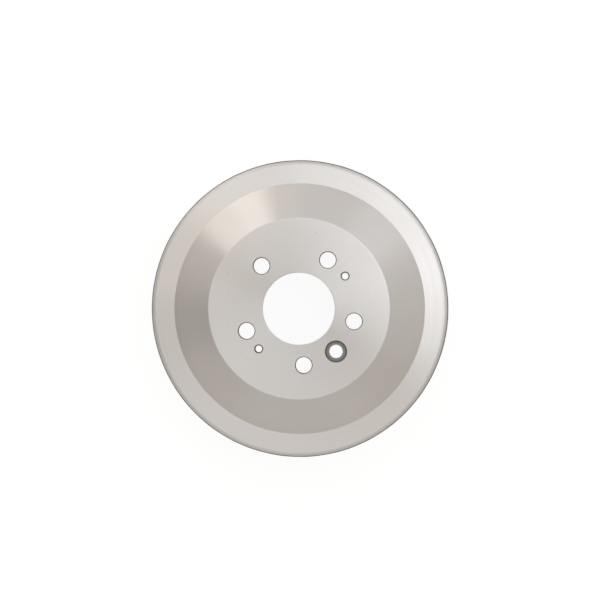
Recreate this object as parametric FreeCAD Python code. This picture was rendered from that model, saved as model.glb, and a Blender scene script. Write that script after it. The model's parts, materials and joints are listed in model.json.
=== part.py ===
import FreeCAD, Part
import math
import os

# Rear brake drum of a light van or pick-up, a single grey iron casting turned where it works.
# The spin axis is Z. The wheel side faces +Z and the open rim faces -Z.
# The origin is the centre of the bore, in the face that is clamped to the axle flange.
# Lengths are millimetres. Angles are degrees, counter-clockwise from +X as seen from the wheel side.

# Hub plate, between the axle flange and the wheel
plate_thickness = 7.5
bore_diameter = 76.5
bore_chamfer = 0.3
wheel_seat_diameter = 192.0
wheel_seat_chamfer = 0.4
flange_pad_diameter = 150.0
flange_pad_height = 1.0
flange_pad_chamfer = 0.5

# Wheel bolt holes, the first of them on +X, chamfered on the wheel side
bolt_circle_diameter = 120.0
bolt_hole_count = 5
bolt_hole_diameter = 17.0
bolt_hole_chamfer = 0.8

# Jacking holes for M8 screws, each given by the bolt hole next to it and its angle from that hole
jacking_hole_core_diameter = 7.1
jacking_hole_chamfer = 1.2
jacking_holes = ((1, -24.0), (3, 22.0))

# Access hole, midway between the first bolt hole and the last, with a seat for a blanking plug
access_hole_diameter = 14.2
access_hole_chamfer = 0.4
plug_seat_diameter = 22.9
plug_seat_depth = 3.0
plug_seat_chamfer = 0.3

# Cone and shoulder, from the wheel seat out to the drum wall
cone_drop = 25.0
cone_slope_angle = 33.1
cone_thickness = 7.0
cone_inner_top_radius = 8.0
shoulder_fall_angle = 4.0
shoulder_thickness = 8.5
shoulder_edge_radius = 5.5

# Drum wall, the surface that the shoes rub on, and the groove that relieves its inner end
friction_diameter = 295.0
friction_width = 54.0
wall_thickness = 12.25
relief_depth = 1.5
relief_width = 7.0
relief_corner_chamfer = 3.0

# Open rim, with the recess that the backing plate's lip runs in and the stiffening band outside it
rim_recess_diameter = 301.0
rim_recess_depth = 5.0
rim_chamfer = 1.0
friction_lead_in = 0.8
band_height = 1.9
band_width = 13.0
band_slope_width = 4.0

# Length by which a cutting tool runs out past the faces that it cuts
tool_runout = 1.0

spin_axis = FreeCAD.Vector(0, 0, 1)
origin = FreeCAD.Vector(0, 0, 0)


def corner(radius, height, fillet=0.0, chamfer=0.0):
    """One corner of a turned section, with the fillet or chamfer that breaks it."""
    return FreeCAD.Vector(radius, 0, height), fillet, chamfer


def broken_corner(before, this, after):
    """The two points where a corner's sides end, and the edge between them if the corner isn't sharp."""
    place, fillet, chamfer = this
    back = (before[0] - place).normalize()
    ahead = (after[0] - place).normalize()
    half_angle = back.getAngle(ahead) / 2
    setback = fillet / math.tan(half_angle) if fillet else chamfer
    start = place + back * setback
    end = place + ahead * setback
    if fillet:
        bisector = (back + ahead).normalize()
        middle = place + bisector * (fillet / math.sin(half_angle) - fillet)
        return start, end, Part.Arc(start, middle, end).toShape()
    if chamfer:
        return start, end, Part.makeLine(start, end)
    return start, end, None


def turned_solid(corners):
    """The solid that a closed section sweeps around the spin axis."""
    count = len(corners)
    broken = [broken_corner(corners[i - 1], corners[i], corners[(i + 1) % count]) for i in range(count)]
    edges = []
    for i, (start, end, edge) in enumerate(broken):
        if edge:
            edges.append(edge)
        edges.append(Part.makeLine(end, broken[(i + 1) % count][0]))
    return Part.Face(Part.Wire(edges)).revolve(origin, spin_axis, 360)


def drum_section():
    """Corners of the drum's section, from the bore over the wheel side, down the wall and back inside."""
    bore = bore_diameter / 2
    pad = flange_pad_diameter / 2
    seat = wheel_seat_diameter / 2
    slope = math.tan(math.radians(cone_slope_angle))
    fall = math.tan(math.radians(shoulder_fall_angle))

    # Wheel side: the seat, the cone and the shoulder
    cone_foot = seat + cone_drop / slope
    cone_foot_height = plate_thickness - cone_drop
    friction = friction_diameter / 2
    wall = friction + wall_thickness
    shoulder_edge_height = cone_foot_height - (wall - cone_foot) * fall

    # Inside: the cast face under the cone lies at the cone's thickness from it
    cone_height_offset = cone_thickness / math.cos(math.radians(cone_slope_angle))
    inner_top = seat + (plate_thickness - cone_height_offset - flange_pad_height) / slope
    web_height = cone_foot_height - shoulder_thickness
    inner_foot = inner_top + (flange_pad_height - web_height) / slope
    relief = friction + relief_depth
    web_edge_height = web_height - (relief - inner_foot) * fall

    # The friction surface and the open rim are placed from the web
    friction_top = web_edge_height - relief_width
    friction_end = friction_top - friction_width
    rim = friction_end - rim_recess_depth
    recess = rim_recess_diameter / 2
    band = wall + band_height
    band_top = rim + band_width
    return [
        corner(bore, 0, chamfer=bore_chamfer),
        corner(bore, plate_thickness, chamfer=bore_chamfer),
        corner(seat, plate_thickness, chamfer=wheel_seat_chamfer),
        corner(cone_foot, cone_foot_height),
        corner(wall, shoulder_edge_height, fillet=shoulder_edge_radius),
        corner(wall, band_top + band_slope_width),
        corner(band, band_top),
        corner(band, rim, chamfer=rim_chamfer),
        corner(recess, rim, chamfer=rim_chamfer),
        corner(recess, friction_end),
        corner(friction, friction_end, chamfer=friction_lead_in),
        corner(friction, friction_top),
        corner(relief, friction_top + relief_depth),
        corner(relief, web_edge_height, chamfer=relief_corner_chamfer),
        corner(inner_foot, web_height),
        corner(inner_top, flange_pad_height, fillet=cone_inner_top_radius),
        corner(pad, flange_pad_height),
        corner(pad, 0, chamfer=flange_pad_chamfer),
    ]


def plate_hole(diameter, wheel_side_chamfer, flange_side_chamfer):
    """Tool for a hole drilled through the hub plate, with the chamfer at each of its mouths."""
    radius = diameter / 2
    top = plate_thickness + tool_runout
    return turned_solid([
        corner(0, -tool_runout),
        corner(radius + flange_side_chamfer + tool_runout, -tool_runout),
        corner(radius, flange_side_chamfer),
        corner(radius, plate_thickness - wheel_side_chamfer),
        corner(radius + wheel_side_chamfer + tool_runout, top),
        corner(0, top),
    ])


def plug_seat():
    """Tool for the flat recess around the access hole, with both of its edges chamfered."""
    radius = plug_seat_diameter / 2
    floor = plate_thickness - plug_seat_depth
    mouth = radius + plug_seat_chamfer + tool_runout
    top = plate_thickness + tool_runout
    floor_edge = access_hole_diameter / 2 + access_hole_chamfer
    return turned_solid([
        corner(0, floor - floor_edge),
        corner(floor_edge, floor),
        corner(radius, floor),
        corner(radius, plate_thickness - plug_seat_chamfer),
        corner(mouth, top),
        corner(0, top),
    ])


def on_bolt_circle(tool, angle):
    """The tool moved out to the bolt circle, at an angle from +X."""
    placed = tool.copy()
    placed.translate(FreeCAD.Vector(bolt_circle_diameter / 2, 0, 0))
    placed.rotate(origin, spin_axis, angle)
    return placed


def bolt_hole_tools():
    """Tools for the ring of wheel bolt holes, sharp where they meet the axle flange."""
    tool = plate_hole(bolt_hole_diameter, bolt_hole_chamfer, 0)
    return [on_bolt_circle(tool, 360 / bolt_hole_count * i) for i in range(bolt_hole_count)]


def jacking_hole_tools():
    """Tools for the threaded holes whose screws push the drum off its flange."""
    tool = plate_hole(jacking_hole_core_diameter, jacking_hole_chamfer, jacking_hole_chamfer)
    return [on_bolt_circle(tool, 360 / bolt_hole_count * i + offset) for i, offset in jacking_holes]


def access_hole_tools():
    """Tools for the access hole and for its plug seat."""
    angle = -180 / bolt_hole_count
    hole = plate_hole(access_hole_diameter, access_hole_chamfer, access_hole_chamfer)
    return [on_bolt_circle(hole, angle), on_bolt_circle(plug_seat(), angle)]


def brake_drum():
    """The turned drum with its holes drilled."""
    tools = bolt_hole_tools() + jacking_hole_tools() + access_hole_tools()
    return turned_solid(drum_section()).cut(tools)


os.makedirs("parts", exist_ok=True)
brake_drum().exportStep("parts/brake_drum.step")
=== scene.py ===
import json
import math

import bmesh
import bpy
from mathutils import Matrix, Vector, noise
from mathutils.geometry import delaunay_2d_cdt


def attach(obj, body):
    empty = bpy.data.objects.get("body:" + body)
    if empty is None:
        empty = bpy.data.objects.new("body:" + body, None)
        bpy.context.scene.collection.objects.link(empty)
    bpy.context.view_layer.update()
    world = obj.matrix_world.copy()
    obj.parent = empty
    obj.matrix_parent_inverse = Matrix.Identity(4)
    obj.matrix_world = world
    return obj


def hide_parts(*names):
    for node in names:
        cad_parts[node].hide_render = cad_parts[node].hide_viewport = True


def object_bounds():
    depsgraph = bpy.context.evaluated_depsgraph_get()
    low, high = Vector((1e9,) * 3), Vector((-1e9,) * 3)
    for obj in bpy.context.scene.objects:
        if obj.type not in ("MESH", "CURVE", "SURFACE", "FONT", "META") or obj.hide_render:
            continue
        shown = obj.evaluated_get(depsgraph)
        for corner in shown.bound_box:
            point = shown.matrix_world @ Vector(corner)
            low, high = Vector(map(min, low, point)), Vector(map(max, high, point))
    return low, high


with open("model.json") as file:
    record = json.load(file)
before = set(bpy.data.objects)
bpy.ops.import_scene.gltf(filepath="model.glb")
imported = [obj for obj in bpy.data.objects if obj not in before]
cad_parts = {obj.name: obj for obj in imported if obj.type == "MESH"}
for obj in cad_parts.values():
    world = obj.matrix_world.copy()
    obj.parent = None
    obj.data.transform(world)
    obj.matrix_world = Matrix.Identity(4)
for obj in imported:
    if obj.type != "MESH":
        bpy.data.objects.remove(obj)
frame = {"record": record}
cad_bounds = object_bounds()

# A turned and drilled cast iron brake drum, lying on its open rim with the wheel side up.
# The spin axis is Z through the origin, and the hub's mounting face lies at height 0.
# Section sizes are millimetres, and the angles in tables are degrees. Everything handed to Blender is metres.
MM = 0.001

# Sizes and places that the part states at its mounts
MOUNTS = {mount["name"]: mount for mount in frame["record"]["mounts"]}


def mount_size(name, key="r_mm"):
    """A size that a mount states, in millimetres."""
    return MOUNTS[name]["dims"][key]


def mount_place(name):
    """Where a mount stands, in millimetres."""
    return Vector(MOUNTS[name]["pos_m"]) / MM


plate_top = mount_place("wheel_seat").z
rim = cad_bounds[0].z / MM
bore_radius = mount_size("centre_bore")
friction_radius = mount_size("friction_surface")
recess_radius = mount_size("rim_recess")
bolt_circle_radius = mount_size("wheel_bolts", "pcd_mm") / 2
bolt_hole_count = mount_size("wheel_bolts", "count")

# Hub plate, cone and shoulder
bore_chamfer = 0.3
seat_radius = 96.0
seat_chamfer = 0.4
pad_radius = 75.0
pad_height = 1.0
pad_chamfer = 0.5
cone_drop = 25.0
cone_thickness = 7.0
cone_angle = math.radians(33.1)
cone_slope = math.tan(cone_angle)
cone_height_offset = cone_thickness / math.cos(cone_angle)
cone_inner_top_rounding = 8.0
shoulder_angle = math.radians(4.0)
shoulder_fall = math.tan(shoulder_angle)
shoulder_thickness = 8.5
shoulder_edge_rounding = 5.5

# Wall, relief groove, open rim and the band round it
wall_thickness = 12.25
relief_depth = 1.5
relief_width = 7.0
relief_corner_chamfer = 3.0
friction_lead_in = 0.8
recess_depth = 5.0
rim_chamfer = 1.0
band_height = 1.9
band_width = 13.0
band_slope_width = 4.0

# Holes
bolt_hole_chamfer = 0.8
jacking_hole_chamfer = 1.2
access_hole_chamfer = 0.4
plug_seat_depth = 3.0
plug_seat_chamfer = 0.3
thread_pitch = 1.0
thread_depth = 0.48
thread_half_angle = math.radians(30)
thread_flank = thread_depth * math.tan(thread_half_angle)
thread_root_width = thread_pitch / 8
thread_ring_step = 0.08

# Small roundings: broken edges, corners left by a tool's nose, and corners of the casting
edge_rounding = 0.15
tool_nose = 0.6
cast_rounding = 1.2
# Share of the shoulder's edge rounding that the turning takes in, before the cast skin begins
turned_share = 0.5

# Points of a ring round the axis, round a hole and round a thread
AROUND = 320
AROUND_HOLE = 96
AROUND_THREAD = 64
# Largest step round an arc, in degrees, fewest steps in one, and largest step along a cast side
ARC_STEP = 9.0
FEWEST_STEPS = 2
CAST_STEP = 2.6
# How close to each end of a side a ring lies that keeps the side flat, and the shortest side that gets one
HOLD = 0.3
SHORTEST_SIDE = 6 * HOLD
# Inner and outer radius of the band of the hub plate that the holes go through
HOLE_BAND = (46.0, 73.5)
# How near two points are the same one: in a plate's face, in millimetres, and in the whole mesh, in metres
PLATE_WELD = 1e-7
MESH_WELD = 1e-6
# Largest angle between two faces that are shaded as one
SMOOTH_ANGLE = math.radians(35)

# Unevenness of the cast skin, which only ever goes into the metal, and its longest waves a millimetre
CAST_DEPTH = 0.22
CAST_WAVES = 0.06
# How fast its finer waves weaken, how many times finer each is than the last, and how many there are
CAST_WEAKENING = 0.6
CAST_REFINEMENT = 2.1
CAST_OCTAVES = 4

# Finishes in the order of their materials, and the mark of a strip that stays open for a plate's face
FINISHES = ("turned", "cast", "ground", "drilled", "seat")
OPEN = None


def corner(radius, height, finish, chamfer=0.0, rounding=edge_rounding, share=0.5):
    """A corner of a section, with the finish of the side that leads on from it.
    The share of its rounding keeps the finish of the side before it."""
    return Vector((radius, height)), finish, chamfer, rounding, share


def with_chamfers(corners):
    """The corners with each chamfer as two corners of its own."""
    made = []
    for i, (place, finish, chamfer, rounding, share) in enumerate(corners):
        if not chamfer:
            made.append((place, finish, rounding, share))
            continue
        for neighbour in (corners[i - 1][0], corners[(i + 1) % len(corners)][0]):
            made.append((place + (neighbour - place).normalized() * chamfer, finish, rounding, share))
    return made


def arc_points(before, place, after, rounding):
    """Points round one corner, or the corner itself if it isn't rounded."""
    if not rounding:
        return [place]
    back = (before - place).normalized()
    ahead = (after - place).normalized()
    half_angle = back.angle(ahead) / 2
    centre = place + (back + ahead).normalized() * (rounding / math.sin(half_angle))
    start = place + back * (rounding / math.tan(half_angle)) - centre
    side = 1 if back.x * ahead.y - back.y * ahead.x < 0 else -1
    turn = side * (math.pi - 2 * half_angle)
    steps = max(FEWEST_STEPS, math.ceil(abs(math.degrees(turn)) / ARC_STEP))
    if rounding == edge_rounding:
        steps = FEWEST_STEPS
    first = math.atan2(start.y, start.x)
    angles = [first + turn * k / steps for k in range(steps + 1)]
    return [centre + Vector((math.cos(a), math.sin(a))) * rounding for a in angles]


def run_points(start, end, finish):
    """Points inside a straight side: one close to each end, and on a cast side more between them."""
    length = (end - start).length
    if finish is OPEN or length < SHORTEST_SIDE:
        return []
    steps = math.ceil((length - 2 * HOLD) / CAST_STEP) if finish == "cast" else 1
    places = [HOLD + (length - 2 * HOLD) * k / steps for k in range(steps + 1)]
    return [start.lerp(end, place / length) for place in places]


def section_points(corners, closed=True):
    """Points along a section, each with the finish of the strip from it to the next one."""
    corners = with_chamfers(corners)
    count = len(corners)
    arcs = []
    for i, (place, _, rounding, _) in enumerate(corners):
        arcs.append(arc_points(corners[i - 1][0], place, corners[(i + 1) % count][0], rounding))
    points = []
    for i, (_, finish, _, share) in enumerate(corners):
        kept = round((len(arcs[i]) - 1) * share)
        before = corners[i - 1][1]
        points += [(point, before if k < kept else finish) for k, point in enumerate(arcs[i])]
        if closed or i < count - 1:
            inside = run_points(arcs[i][-1], arcs[(i + 1) % count][0], finish)
            points += [(point, finish) for point in inside]
    return points


def drum_section():
    """Corners of the drum's section, from the bore over the wheel side, down the wall and back inside."""
    band_start, band_end = HOLE_BAND
    cone_foot = seat_radius + cone_drop / cone_slope
    cone_foot_height = plate_top - cone_drop
    wall = friction_radius + wall_thickness
    shoulder_edge_height = cone_foot_height - (wall - cone_foot) * shoulder_fall
    inner_top = seat_radius + (plate_top - cone_height_offset - pad_height) / cone_slope
    web_height = cone_foot_height - shoulder_thickness
    inner_foot = inner_top + (pad_height - web_height) / cone_slope
    relief = friction_radius + relief_depth
    web_edge_height = web_height - (relief - inner_foot) * shoulder_fall
    friction_top = web_edge_height - relief_width
    friction_end = rim + recess_depth
    band = wall + band_height
    band_top = rim + band_width
    return [
        corner(bore_radius, 0, "turned", bore_chamfer),
        corner(bore_radius, plate_top, "turned", bore_chamfer),
        corner(band_start, plate_top, OPEN, rounding=0),
        corner(band_end, plate_top, "turned", rounding=0),
        corner(seat_radius, plate_top, "turned", seat_chamfer),
        corner(cone_foot, cone_foot_height, "turned", rounding=tool_nose),
        corner(wall, shoulder_edge_height, "cast", rounding=shoulder_edge_rounding, share=turned_share),
        corner(wall, band_top + band_slope_width, "cast", rounding=cast_rounding),
        corner(band, band_top, "cast", rounding=cast_rounding),
        corner(band, rim, "turned", rim_chamfer),
        corner(recess_radius, rim, "turned", rim_chamfer),
        corner(recess_radius, friction_end, "turned", rounding=tool_nose),
        corner(friction_radius, friction_end, "ground", friction_lead_in),
        corner(friction_radius, friction_top, "turned"),
        corner(relief, friction_top + relief_depth, "turned", rounding=tool_nose),
        corner(relief, web_edge_height, "cast", relief_corner_chamfer, cast_rounding),
        corner(inner_foot, web_height, "cast", rounding=cast_rounding),
        corner(inner_top, pad_height, "cast", rounding=cone_inner_top_rounding),
        corner(pad_radius, pad_height, "turned", rounding=tool_nose),
        corner(pad_radius, 0, "turned", pad_chamfer),
        corner(band_end, 0, OPEN, rounding=0),
        corner(band_start, 0, "turned", rounding=0),
    ]


class Surface:
    """Vertices in millimetres and faces with their finishes, gathered before they become one mesh."""

    def __init__(self):
        self.places = []
        self.faces = []
        self.finishes = []

    def add_rings(self, rings, finishes):
        """Strips of quads between rings of equal length, each strip with its finish."""
        first = len(self.places)
        size = len(rings[0])
        for ring in rings:
            self.places += ring
        for i, finish in enumerate(finishes):
            if finish is OPEN:
                continue
            low = first + i * size
            high = first + (i + 1) % len(rings) * size
            for j in range(size):
                k = (j + 1) % size
                self.faces.append((low + j, high + j, high + k, low + k))
                self.finishes.append(finish)

    def add_plate(self, loops, height, inside_loops, finish):
        """A flat face at a height, between an outer loop and the loops cut out of it."""
        outline = []
        edges = []
        for loop in loops:
            first = len(outline)
            outline += loop
            edges += [(first + j, first + (j + 1) % len(loop)) for j in range(len(loop))]
        places, _, faces, _, _, _ = delaunay_2d_cdt(outline, edges, [], 0, PLATE_WELD)
        first = len(self.places)
        self.places += [place.to_3d() + Vector((0, 0, height)) for place in places]
        for face in faces:
            middle = sum((places[j] for j in face), Vector((0, 0))) / len(face)
            if not any((middle - centre).length < radius for centre, radius in inside_loops):
                self.faces.append(tuple(first + j for j in face))
                self.finishes.append(finish)


def circle(centre, radius, count):
    """Points of a circle, in the plane."""
    angles = (math.tau * j / count for j in range(count))
    return [centre + Vector((math.cos(a), math.sin(a))) * radius for a in angles]


def cast_skin(place, outward):
    """A point of the cast skin, let into the metal by the unevenness of the mould."""
    waves = noise.fractal(place * CAST_WAVES, CAST_WEAKENING, CAST_REFINEMENT, CAST_OCTAVES)
    depth = CAST_DEPTH * min(1.0, max(0.0, 0.5 + 0.5 * waves))
    return place - outward * depth


def add_drum_section(surface):
    """The turned and cast surfaces, swept round the spin axis."""
    points = section_points(drum_section())
    rings = []
    for i, (point, finish) in enumerate(points):
        ring = [place.to_3d() for place in circle(Vector((0, 0)), point.x, AROUND)]
        for place in ring:
            place.z = point.y
        if finish == "cast" and points[i - 1][1] == "cast":
            along = points[(i + 1) % len(points)][0] - points[i - 1][0]
            outward = Vector((-along.y, along.x)).normalized()
            for j, place in enumerate(ring):
                radial = Vector((place.x, place.y, 0)).normalized() * outward.x
                ring[j] = cast_skin(place, radial + Vector((0, 0, outward.y)))
        rings.append(ring)
    surface.add_rings(rings, [finish for _, finish in points])


def add_hole(surface, centre, corners):
    """A drilled hole's wall. Returns its two mouths: the circles where it meets the plate's faces."""
    points = section_points(corners, closed=False)
    rings = []
    for point, _ in points:
        flat = circle(centre, point.x, AROUND_HOLE)
        rings.append([place.to_3d() + Vector((0, 0, point.y)) for place in flat])
    surface.add_rings(rings, [finish for _, finish in points[:-1]])
    return tuple((centre, point.x, AROUND_HOLE) for point, _ in (points[0], points[-1]))


def hole_corners(radius, top_chamfer, bottom_chamfer):
    """Corners of a plain hole through the plate, from the wheel side down."""
    return [
        corner(radius + top_chamfer + HOLD, plate_top, "turned", rounding=0),
        corner(radius, plate_top, "drilled", top_chamfer),
        corner(radius, 0, "drilled", bottom_chamfer),
        corner(radius + bottom_chamfer + HOLD, 0, "turned", rounding=0),
    ]


def access_hole_corners():
    """Corners of the access hole and its plug seat, from the wheel side down."""
    seat = mount_size("plug_seat")
    hole = mount_size("access_hole")
    floor = plate_top - plug_seat_depth
    return [
        corner(seat + plug_seat_chamfer + HOLD, plate_top, "turned", rounding=0),
        corner(seat, plate_top, "seat", plug_seat_chamfer),
        corner(seat, floor, "seat", rounding=tool_nose),
        corner(hole, floor, "drilled", access_hole_chamfer),
        corner(hole, 0, "drilled", access_hole_chamfer),
        corner(hole + access_hole_chamfer + HOLD, 0, "turned", rounding=0),
    ]


def thread_radius(core, angle, height):
    """Radius of a threaded hole's wall at a place, with its helical groove and the chamfers at its mouths."""
    turns = height / thread_pitch - angle / math.tau
    from_root = abs(turns - math.floor(turns) - 0.5) * thread_pitch - thread_root_width / 2
    groove = thread_depth * min(1.0, max(0.0, 1 - from_root / thread_flank))
    mouth = core + jacking_hole_chamfer
    return max(core + groove, mouth - (plate_top - height), mouth - height)


def add_threaded_hole(surface, centre, core):
    """A threaded hole's wall. Returns its two mouths: the circles where it meets the plate's faces."""
    mouth = core + jacking_hole_chamfer + HOLD
    flat = [place.to_3d() for place in circle(centre, mouth, AROUND_THREAD)]
    rings = [[place + Vector((0, 0, plate_top)) for place in flat]]
    steps = math.ceil(plate_top / thread_ring_step)
    for k in range(steps + 1):
        height = plate_top * (1 - k / steps)
        ring = []
        for j in range(AROUND_THREAD):
            angle = math.tau * j / AROUND_THREAD
            radius = thread_radius(core, angle, height)
            place = centre + Vector((math.cos(angle), math.sin(angle))) * radius
            ring.append(place.to_3d() + Vector((0, 0, height)))
        rings.append(ring)
    rings.append(flat)
    surface.add_rings(rings, ["turned"] + ["drilled"] * steps + ["turned"])
    return (centre, mouth, AROUND_THREAD), (centre, mouth, AROUND_THREAD)


def add_plate_faces(surface, mouths, height):
    """The flat band of the hub plate that the holes go through, on one of its sides."""
    band_start, band_end = HOLE_BAND
    middle = Vector((0, 0))
    loops = [circle(middle, band_end, AROUND), circle(middle, band_start, AROUND)]
    loops += [circle(*mouth) for mouth in mouths]
    cut_out = [(middle, band_start)] + [(centre, radius) for centre, radius, _ in mouths]
    surface.add_plate(loops, height, cut_out, "turned")


def drum_surface():
    """The whole drum as one closed surface."""
    surface = Surface()
    add_drum_section(surface)
    mouths = []
    bolt_hole = hole_corners(mount_size("wheel_bolts", "hole_r_mm"), bolt_hole_chamfer, 0)
    for centre in circle(Vector((0, 0)), bolt_circle_radius, bolt_hole_count):
        mouths.append(add_hole(surface, centre, bolt_hole))
    for name in sorted(name for name in MOUNTS if name.startswith("jacking_hole")):
        mouths.append(add_threaded_hole(surface, mount_place(name).to_2d(), mount_size(name)))
    mouths.append(add_hole(surface, mount_place("access_hole").to_2d(), access_hole_corners()))
    add_plate_faces(surface, [top for top, _ in mouths], plate_top)
    add_plate_faces(surface, [bottom for _, bottom in mouths], 0)
    return surface


def drum_object(surface, materials):
    """The drum's mesh in metres, welded, shaded smooth and dressed by finish."""
    mesh = bpy.data.meshes.new("turned_drum")
    mesh.from_pydata([place * MM for place in surface.places], [], surface.faces)
    for material in materials:
        mesh.materials.append(material)
    mesh.polygons.foreach_set("material_index", [FINISHES.index(f) for f in surface.finishes])
    welded = bmesh.new()
    welded.from_mesh(mesh)
    bmesh.ops.remove_doubles(welded, verts=welded.verts, dist=MESH_WELD)
    bmesh.ops.recalc_face_normals(welded, faces=welded.faces)
    welded.to_mesh(mesh)
    welded.free()
    mesh.shade_smooth()
    mesh.set_sharp_from_angle(angle=SMOOTH_ANGLE)
    drum = bpy.data.objects.new("turned_drum", mesh)
    bpy.context.scene.collection.objects.link(drum)
    return drum


def add_node(tree, kind, inputs=None, **settings):
    """A shader node with its settings, each input a number or a link from another node's output."""
    node = tree.nodes.new("ShaderNode" + kind)
    for name, value in settings.items():
        setattr(node, name, value)
    for name, value in (inputs or {}).items():
        if isinstance(value, bpy.types.NodeSocket):
            tree.links.new(value, node.inputs[name])
        else:
            node.inputs[name].default_value = value
    return node


def math_node(tree, operation, first, second=0.0):
    """The result of a sum on one or two values."""
    return add_node(tree, "Math", {0: first, 1: second}, operation=operation).outputs[0]


def weighted_sum(tree, *parts):
    """The sum of several values, each times its share."""
    total = None
    for value, share in parts:
        part = math_node(tree, "MULTIPLY", value, share)
        total = part if total is None else math_node(tree, "ADD", total, part)
    return total


def mapped(tree, value, low, high, to_low=0.0, to_high=1.0):
    """A value moved from one range to another, and kept inside it."""
    limits = {"From Min": low, "From Max": high, "To Min": to_low, "To Max": to_high}
    return add_node(tree, "MapRange", {"Value": value, **limits}).outputs["Result"]


# Range that a noise mostly stays in
NOISE_LOW, NOISE_HIGH = 0.3, 0.7


def spread(tree, value, low, high):
    """A noise stretched over a range."""
    return mapped(tree, value, NOISE_LOW, NOISE_HIGH, low, high)


# Sockets of a Mix node that it uses for colours
MIX_FACTOR, MIX_FIRST, MIX_SECOND, MIX_RESULT = 0, 6, 7, 2


def mixed_colour(tree, factor, first, second):
    """A colour between two others."""
    inputs = {MIX_FACTOR: factor, MIX_FIRST: first, MIX_SECOND: second}
    return add_node(tree, "Mix", inputs, data_type="RGBA").outputs[MIX_RESULT]


def new_material(name, base, metallic, roughness):
    """A material, its node tree, its shader and the object's own coordinates."""
    material = bpy.data.materials.new(name)
    material.use_nodes = True
    tree = material.node_tree
    shader = tree.nodes["Principled BSDF"]
    shader.inputs["Base Color"].default_value = (*base, 1)
    shader.inputs["Metallic"].default_value = metallic
    shader.inputs["Roughness"].default_value = roughness
    coordinates = add_node(tree, "TexCoord").outputs["Object"]
    return material, tree, shader, coordinates


def toned(base, share):
    """A colour made lighter or darker by a share of itself."""
    return (*(channel * share for channel in base), 1)


def tool_place(tree, coordinates):
    """A point's distance from the axis, and how far along the section it lies, out and down together."""
    split = add_node(tree, "SeparateXYZ", {"Vector": coordinates})
    flat = add_node(tree, "CombineXYZ", {"X": split.outputs["X"], "Y": split.outputs["Y"]})
    radius = add_node(tree, "VectorMath", {0: flat.outputs[0]}, operation="LENGTH").outputs["Value"]
    return radius, math_node(tree, "SUBTRACT", radius, split.outputs["Z"])


def noise_along(tree, place, scale, detail=2.0):
    """Noise along one line, for marks that run right round."""
    inputs = {"W": place, "Scale": scale, "Detail": detail}
    return add_node(tree, "TexNoise", inputs, noise_dimensions="1D").outputs["Fac"]


def noise_in(tree, coordinates, scale, detail=3.0):
    """Noise in space."""
    inputs = {"Vector": coordinates, "Scale": scale, "Detail": detail}
    return add_node(tree, "TexNoise", inputs).outputs["Fac"]


def bump(tree, shader, height, distance):
    """Relief of a height field, of that many metres."""
    node = add_node(tree, "Bump", {"Height": height, "Distance": distance})
    tree.links.new(node.outputs["Normal"], shader.inputs["Normal"])


# Metallic of bare metal
BARE = 1.0
# Metal where a tool has cut it, near the axis and far from it, where it is painted paler: a painted sheen
# that stands in for brighter reflected light
TURNED_COLOUR = (0.596, 0.577, 0.577)
TURNED_PAINTED_SHEEN_COLOUR = (0.678, 0.652, 0.650)
TURNED_ROUGHNESS = 0.36
GROUND_COLOUR = (0.560, 0.540, 0.525)
GROUND_ROUGHNESS = 0.30
# Distances from the axis, in metres, between which the painted sheen makes it paler
PAINTED_SHEEN_FROM, PAINTED_SHEEN_TO = 0.041, 0.141
# Distances between which the shoulder's edge rounds over, where the metal keeps a share of that painted sheen
# and is duller by so much
EDGE_FROM, EDGE_TO = 0.1540, 0.1565
EDGE_SHEEN_SHARE = 0.50
EDGE_DULL = 0.14
# How far the shine is stretched, and its turn from the lines, in whole turns
TURNED_STRETCH = 0.85
TURNED_STRETCH_TURN = 0.25

# Tool marks: finest lines, bands of several passes, and slow drifts, in waves a metre
LINE_WAVES = 1500.0
LINE_DETAIL = 4.0
LINE_DEPTH = 1.4e-5
BAND_WAVES = 210.0
STAIN_WAVES = 14.0
# Their shares in the metal's tone, and how far they change its colour and roughness
LINE_TONE, BAND_TONE, STAIN_TONE = 0.6, 0.1, 0.3
TURNED_TONE = (0.95, 1.05)
TURNED_SHINE = 0.01

# Pores that the turning has opened in the wheel seat: distance from the axis, direction and radius
PORES = ((82.4, 166.6, 0.55), (81.9, 90.1, 0.50))
PORE_COLOUR = (0.060, 0.055, 0.050)
# Share of a pore's radius that is its floor, and its depth as a multiple of a line's
PORE_FLOOR = 0.5
PORE_LINES = 7.0

# Metal in the holes and in the plug seat: its darkest and palest shares of its colour, how far its roughness
# changes, and the depth of the rings that a drill or a mill leaves
DRILLED_COLOUR = (0.200, 0.192, 0.185)
DRILLED_ROUGHNESS = 0.50
DRILLED_TONE = (0.85, 1.15)
DRILLED_SHINE = 0.08
SEAT_COLOUR = (0.150, 0.147, 0.143)
SEAT_METALLIC = 0.7
SEAT_ROUGHNESS = 0.55
SEAT_TONE = (0.8, 2.0)
SEAT_SHINE = 0.07
RING_DEPTH = 2 * LINE_DEPTH
# Shares of the seat's tone that come from painted shade, darker towards the seat's wall and paler next to the
# access hole, and from the rings
SEAT_PAINTED_SHADE = 0.8
SEAT_RINGS = 0.2

# Metal with the skin that it got in the mould: sandy grain, lumps and slow drifts, in waves a metre
CAST_COLOUR = (0.190, 0.187, 0.182)
CAST_METALLIC = 0.7
CAST_ROUGHNESS = 0.58
GRAIN_WAVES, LUMP_WAVES, DRIFT_WAVES = 1100.0, 260.0, 22.0
GRAIN_DETAIL = 4.0
GRAIN_TONE, DRIFT_TONE = 0.6, 0.4
CAST_TONE = (0.78, 1.22)
CAST_SHINE = 0.08
# Shares of the grain and the lumps in its relief, and the relief's depth
GRAIN_HEIGHT, LUMP_HEIGHT = 0.4, 0.6
GRAIN_DEPTH = 1.2e-4


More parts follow.
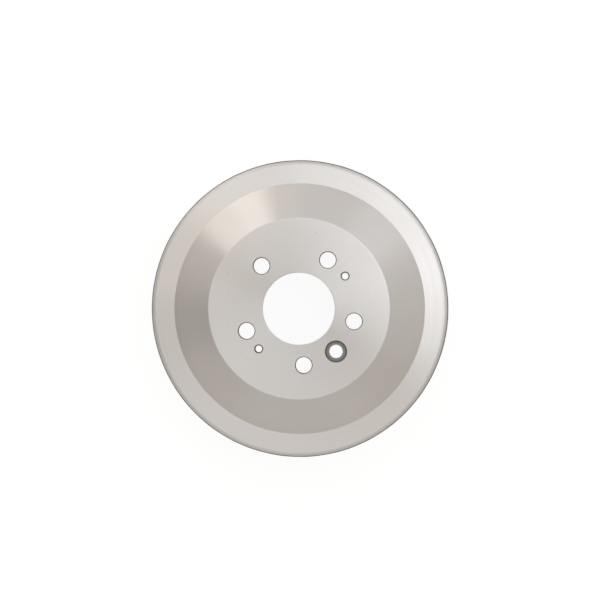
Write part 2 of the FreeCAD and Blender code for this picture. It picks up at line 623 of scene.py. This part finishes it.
def pore_mask(tree, coordinates):
    """1 inside the pores and 0 outside them."""
    mask = 0.0
    for distance, direction, radius in PORES:
        turn = math.radians(direction)
        place = Vector((distance * math.cos(turn), distance * math.sin(turn), plate_top)) * MM
        away = add_node(tree, "VectorMath", {0: coordinates, 1: place}, operation="DISTANCE").outputs["Value"]
        inside = mapped(tree, away, PORE_FLOOR * radius * MM, radius * MM, 1.0, 0.0)
        mask = math_node(tree, "MAXIMUM", inside, mask)
    return mask


def turned_material(name, inner_colour, sheen_colour, roughness):
    """Cut metal: fine rings round the axis, whose shine is stretched across them, a painted sheen that makes
    it paler further out, and a pore or two.
    """
    material, tree, shader, coordinates = new_material(name, inner_colour, BARE, roughness)
    radius, path = tool_place(tree, coordinates)
    lines = noise_along(tree, path, LINE_WAVES, LINE_DETAIL)
    bands = noise_along(tree, path, BAND_WAVES)
    stains = noise_in(tree, coordinates, STAIN_WAVES)
    pores = pore_mask(tree, coordinates)
    edge = mapped(tree, radius, EDGE_FROM, EDGE_TO)

    # Painted sheen: paler further from the axis, standing in for brighter reflected light, and only a share
    # of it on the shoulder's edge
    painted_sheen = mapped(tree, radius, PAINTED_SHEEN_FROM, PAINTED_SHEEN_TO)
    painted_sheen = math_node(tree, "MULTIPLY", painted_sheen, mapped(tree, edge, 0.0, 1.0, 1.0, EDGE_SHEEN_SHARE))
    metal = mixed_colour(tree, painted_sheen, (*inner_colour, 1), (*sheen_colour, 1))
    tone = weighted_sum(tree, (bands, BAND_TONE), (lines, LINE_TONE), (stains, STAIN_TONE))
    scaling = {0: metal, "Scale": spread(tree, tone, *TURNED_TONE)}
    metal = add_node(tree, "VectorMath", scaling, operation="SCALE").outputs["Vector"]
    colour = mixed_colour(tree, pores, metal, (*PORE_COLOUR, 1))
    tree.links.new(colour, shader.inputs["Base Color"])

    shine = spread(tree, bands, roughness - TURNED_SHINE, roughness + TURNED_SHINE)
    shine = weighted_sum(tree, (shine, 1.0), (edge, EDGE_DULL))
    tree.links.new(shine, shader.inputs["Roughness"])
    shader.inputs["Anisotropic"].default_value = TURNED_STRETCH
    shader.inputs["Anisotropic Rotation"].default_value = TURNED_STRETCH_TURN
    tangent = add_node(tree, "Tangent", direction_type="RADIAL", axis="Z")
    tree.links.new(tangent.outputs["Tangent"], shader.inputs["Tangent"])
    bump(tree, shader, weighted_sum(tree, (lines, 1.0), (pores, -PORE_LINES)), LINE_DEPTH)
    return material


def drilled_material():
    """Metal that a drill or a tap has cut, with rings down the hole."""
    material, tree, shader, coordinates = new_material(
        "drilled_iron", DRILLED_COLOUR, BARE, DRILLED_ROUGHNESS)
    split = add_node(tree, "SeparateXYZ", {"Vector": coordinates})
    rings = noise_along(tree, split.outputs["Z"], LINE_WAVES)
    colour = mixed_colour(tree, rings, *(toned(DRILLED_COLOUR, share) for share in DRILLED_TONE))
    tree.links.new(colour, shader.inputs["Base Color"])
    shine = spread(tree, rings, DRILLED_ROUGHNESS - DRILLED_SHINE, DRILLED_ROUGHNESS + DRILLED_SHINE)
    tree.links.new(shine, shader.inputs["Roughness"])
    bump(tree, shader, rings, RING_DEPTH)
    return material


def seat_material():
    """The plug seat: dull milled metal with rings round the access hole, and painted shade that darkens it
    towards its wall, paler next to the hole.
    """
    material, tree, shader, coordinates = new_material(
        "milled_iron", SEAT_COLOUR, SEAT_METALLIC, SEAT_ROUGHNESS)
    hole = mount_place("access_hole") * MM
    split = add_node(tree, "SeparateXYZ", {"Vector": coordinates})
    flat = add_node(tree, "CombineXYZ", {"X": split.outputs["X"], "Y": split.outputs["Y"], "Z": hole.z})
    out = add_node(tree, "VectorMath", {0: flat.outputs[0], 1: hole}, operation="DISTANCE").outputs["Value"]
    rings = noise_along(tree, math_node(tree, "SUBTRACT", out, split.outputs["Z"]), LINE_WAVES)
    inner, outer = (mount_size(name) * MM for name in ("access_hole", "plug_seat"))
    # Painted shade: the seat is darker towards its wall and paler next to the access hole
    painted_shade = mapped(tree, out, inner, outer, SEAT_PAINTED_SHADE, 0.0)
    tone = weighted_sum(tree, (painted_shade, 1.0), (rings, SEAT_RINGS))
    colour = mixed_colour(tree, tone, *(toned(SEAT_COLOUR, share) for share in SEAT_TONE))
    tree.links.new(colour, shader.inputs["Base Color"])
    shine = spread(tree, rings, SEAT_ROUGHNESS - SEAT_SHINE, SEAT_ROUGHNESS + SEAT_SHINE)
    tree.links.new(shine, shader.inputs["Roughness"])
    bump(tree, shader, rings, RING_DEPTH)
    return material


def cast_material():
    """Metal with its cast skin: sandy grain, slow changes of tone and a dull shine."""
    material, tree, shader, coordinates = new_material(
        "cast_iron_skin", CAST_COLOUR, CAST_METALLIC, CAST_ROUGHNESS)
    grain = noise_in(tree, coordinates, GRAIN_WAVES, GRAIN_DETAIL)
    lumps = noise_in(tree, coordinates, LUMP_WAVES)
    drift = noise_in(tree, coordinates, DRIFT_WAVES)
    tone = spread(tree, weighted_sum(tree, (grain, GRAIN_TONE), (drift, DRIFT_TONE)), 0.0, 1.0)
    colour = mixed_colour(tree, tone, *(toned(CAST_COLOUR, share) for share in CAST_TONE))
    tree.links.new(colour, shader.inputs["Base Color"])
    shine = spread(tree, lumps, CAST_ROUGHNESS - CAST_SHINE, CAST_ROUGHNESS + CAST_SHINE)
    tree.links.new(shine, shader.inputs["Roughness"])
    bump(tree, shader, weighted_sum(tree, (grain, GRAIN_HEIGHT), (lumps, LUMP_HEIGHT)), GRAIN_DEPTH)
    return material


def drum_materials():
    """The materials in the order of the finishes."""
    return [
        turned_material("turned_iron", TURNED_COLOUR, TURNED_PAINTED_SHEEN_COLOUR, TURNED_ROUGHNESS),
        cast_material(),
        turned_material("ground_iron", GROUND_COLOUR, GROUND_COLOUR, GROUND_ROUGHNESS),
        drilled_material(),
        seat_material(),
    ]


# The photograph's view. Image directions are turned from the part's by this angle round the spin axis.
photo_turn = Matrix.Rotation(math.radians(12.92), 4, "Z")
photo_width_px = 600
# Millimetres of the wheel seat's plane that a pixel covers
seat_mm_per_px = 1.05716
camera_distance = 1.8
camera_tilt = math.radians(1.95)
camera_reach = 100.0
# Where the middle of the image lies on the wheel seat's plane, right and up from the axis
aim_offset = Vector((1.42, 9.22, 0)) * MM
# Width of the camera's sensor, in its own millimetres
sensor_width = 36.0


def from_photo(direction):
    """A direction or offset of the image, right, up and towards the viewer, in the part's frame."""
    return photo_turn @ Vector(direction)


def add_camera():
    """The camera that looks down on the wheel side."""
    data = bpy.data.cameras.new("photo_camera")
    data.sensor_width = sensor_width
    data.lens = sensor_width * camera_distance / (photo_width_px * seat_mm_per_px * MM)
    data.clip_end = camera_reach
    camera = bpy.data.objects.new("photo_camera", data)
    bpy.context.scene.collection.objects.link(camera)
    back = from_photo((math.sin(camera_tilt), 0, math.cos(camera_tilt)))
    right = from_photo((math.cos(camera_tilt), 0, -math.sin(camera_tilt)))
    up = back.cross(right)
    aim = Vector((0, 0, plate_top * MM)) + from_photo(aim_offset)
    axes = Matrix((right, up, back)).transposed().to_4x4()
    camera.matrix_world = Matrix.Translation(aim + back * camera_distance) @ axes
    bpy.context.scene.camera = camera


# Floor: what the eye and a shiny surface see of it, and what it sends back to dull surfaces
floor_size = 60.0
floor_glow = 0.93
floor_seen_colour = (0.10, 0.10, 0.10)
floor_colour = (0.82, 0.82, 0.82)


def floor_material():
    """A pale floor that shows nearly white and still takes a soft shadow."""
    material = bpy.data.materials.new("pale_floor")
    material.use_nodes = True
    tree = material.node_tree
    tree.nodes.clear()
    path = add_node(tree, "LightPath")
    seen = path.outputs["Is Camera Ray"]
    for kind in ("Is Glossy Ray", "Is Transmission Ray"):
        seen = math_node(tree, "MAXIMUM", seen, path.outputs[kind])
    glow = add_node(tree, "Emission", {"Color": (1, 1, 1, 1), "Strength": floor_glow})
    shaded = add_node(tree, "BsdfDiffuse", {"Color": (*floor_seen_colour, 1)})
    plain = add_node(tree, "BsdfDiffuse", {"Color": (*floor_colour, 1)})
    shown = add_node(tree, "AddShader", {0: glow.outputs[0], 1: shaded.outputs[0]})
    mix = add_node(tree, "MixShader", {0: seen, 1: plain.outputs[0], 2: shown.outputs[0]})
    add_node(tree, "OutputMaterial", {"Surface": mix.outputs[0]})
    return material


def add_floor():
    """The floor that the open rim stands on."""
    half = floor_size / 2
    height = cad_bounds[0].z
    places = [(x, y, height) for x, y in ((-half, -half), (half, -half), (half, half), (-half, half))]
    mesh = bpy.data.meshes.new("floor")
    mesh.from_pydata(places, [], [(0, 1, 2, 3)])
    mesh.materials.append(floor_material())
    floor = bpy.data.objects.new("floor", mesh)
    bpy.context.scene.collection.objects.link(floor)


# Light: a plain warm room, soft lamps of cool light above it, and warm ones at the upper left of the image
room_colour = (1.0, 0.925, 0.81)
room_strength = 0.565
# Where the room is a little darker: image angle and height above the horizon, spread and share of light left
dark_side = (184, 22)
dark_spread = 25
dark_share = 0.62
warm_light = (1.0, 0.965, 0.90)
cool_light = (0.885, 0.95, 1.0)
# Each lamp's name, image angle, height above the horizon, distance, width and height, watts and colour
LAMPS = (
    ("key_lamp", 60, 60, 1.4, (1.4, 1.4), 5.5, cool_light),
    ("right_lamp", 0, 65, 1.6, (0.7, 0.7), 1.33, cool_light),
    ("front_lamp", 270, 60, 1.4, (1.4, 1.4), 1.88, cool_light),
    ("near_lamp_left", 150, 50, 0.55, (0.35, 0.35), 0.16, warm_light),
    ("low_lamp_left", 126, 28, 1.6, (0.9, 0.7), 2.65, warm_light),
    ("low_lamp_right", 108, 20, 1.6, (0.9, 0.7), 0.9, warm_light),
    ("side_lamp", 48, 24, 1.6, (0.7, 0.7), 0.37, cool_light),
    ("near_lamp_right", 30, 65, 0.55, (0.35, 0.35), 0.135, cool_light),
)


def sky_place(azimuth, elevation):
    """The direction at an image angle and a height above the horizon."""
    flat = math.cos(math.radians(elevation))
    turn = math.radians(azimuth)
    return flat * math.cos(turn), flat * math.sin(turn), math.sin(math.radians(elevation))


def add_room_light():
    """The soft light of the room, a little weaker from one side."""
    world = bpy.data.worlds.new("room")
    world.use_nodes = True
    tree = world.node_tree
    background = tree.nodes["Background"]
    background.inputs["Color"].default_value = (*room_colour, 1)
    direction = add_node(tree, "TexCoord").outputs["Generated"]
    middle = from_photo(sky_place(*dark_side))
    near = add_node(tree, "VectorMath", {0: direction, 1: middle}, operation="DOT_PRODUCT").outputs["Value"]
    edge = math.cos(math.radians(dark_spread))
    strength = mapped(tree, near, edge, 1.0, room_strength, room_strength * dark_share)
    tree.links.new(strength, background.inputs["Strength"])
    bpy.context.scene.world = world


def add_lamp(name, azimuth, elevation, distance, size, power, colour):
    """A soft lamp that faces the drum's centre, at an image angle and a height above the horizon."""
    data = bpy.data.lights.new(name, "AREA")
    data.shape = "RECTANGLE"
    data.size, data.size_y = size
    data.energy = power
    data.color = colour
    lamp = bpy.data.objects.new(name, data)
    bpy.context.scene.collection.objects.link(lamp)
    away = from_photo(sky_place(azimuth, elevation))
    lamp.location = away * distance
    lamp.rotation_euler = away.to_track_quat("Z", "Y").to_euler()
    lamp.visible_camera = False


drum = drum_object(drum_surface(), drum_materials())
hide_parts("brake_drum")
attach(drum, "root")

add_camera()
add_floor()
add_room_light()
for lamp in LAMPS:
    add_lamp(*lamp)

bpy.context.scene.view_settings.view_transform = "Standard"
